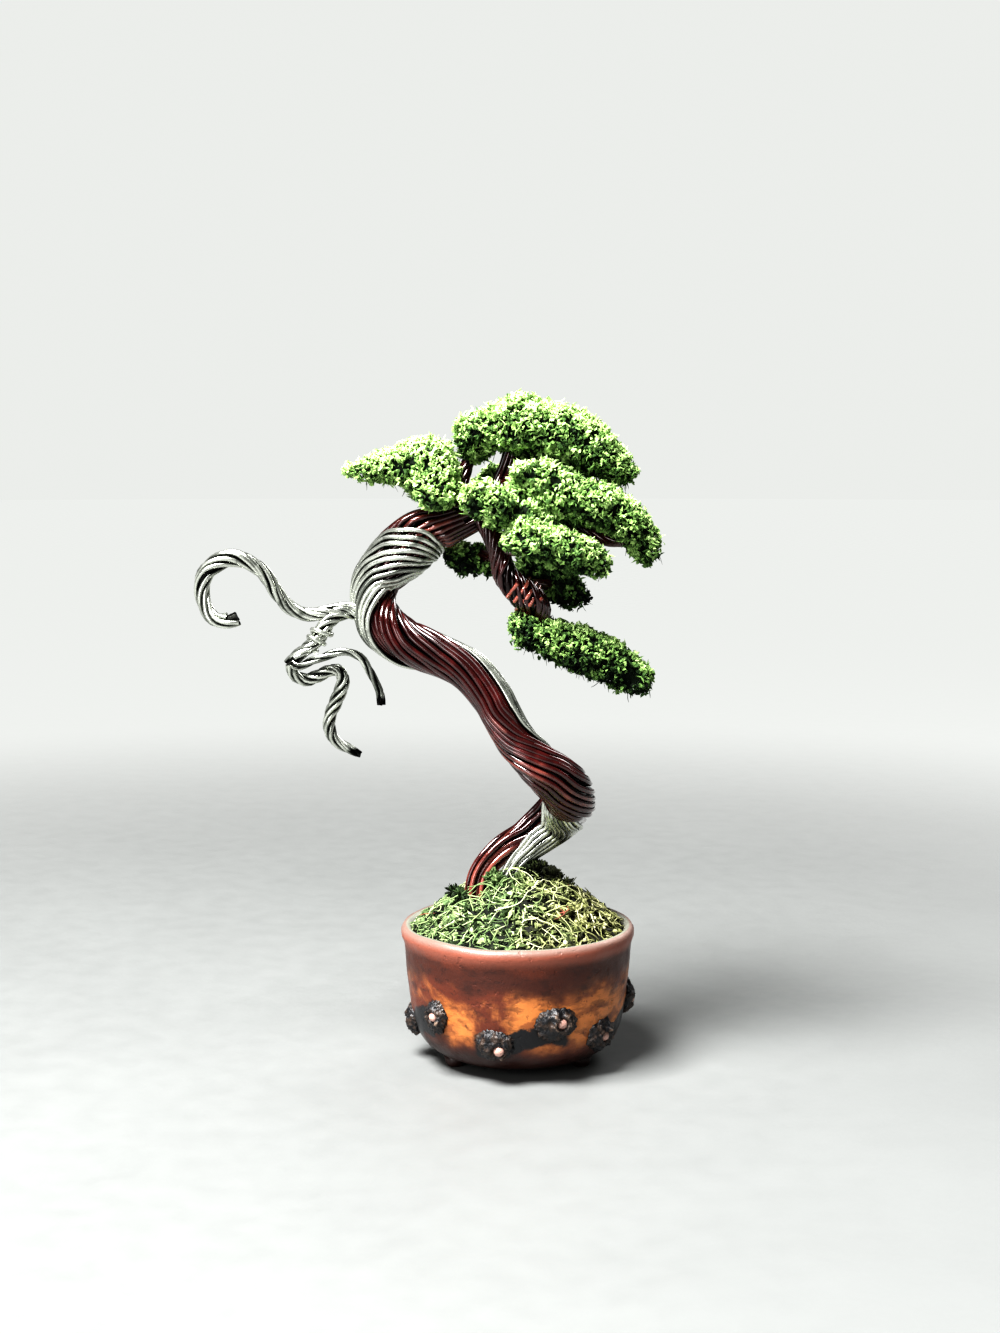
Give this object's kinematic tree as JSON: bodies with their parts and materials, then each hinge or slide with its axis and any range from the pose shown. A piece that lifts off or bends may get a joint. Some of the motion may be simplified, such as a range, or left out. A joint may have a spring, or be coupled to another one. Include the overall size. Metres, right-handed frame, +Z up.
{
  "type": "wire bonsai tree in a pot",
  "caption": "Small twisted-wire bonsai sculpture in juniper style, with clump foliage and curled dead twigs, on a moss mound in a round studded pot.",
  "frame": {"origin": "centre of the whole object's box at the height of the feet", "axes": "+Z up, -Y towards the side that the picture shows, +X to that view's right"},
  "size_m": [0.0766, 0.0398, 0.1116],
  "materials": {
    "pot_glaze": "mottled red-brown glaze with a dark band",
    "potting": "dark set plaster",
    "moss": "matt, tangled",
    "brown_wire": "glossy brown coating",
    "silver_wire": "bare, weathered satin",
    "foliage": "matt clump foliage"
  },
  "bodies": {
    "root": {"pot": "pot_glaze", "potting_fill": "potting", "moss_cover": "moss", "wire_trunk_brown": "brown_wire", "wire_ribbon_silver": "silver_wire", "foliage_left": "foliage", "foliage_crown": "foliage", "foliage_right": "foliage", "foliage_front": "foliage", "foliage_middle": "foliage", "foliage_low_left": "foliage", "foliage_low_back": "foliage", "foliage_cascade": "foliage", "foliage_back": "foliage"}
  },
  "joints": []
}
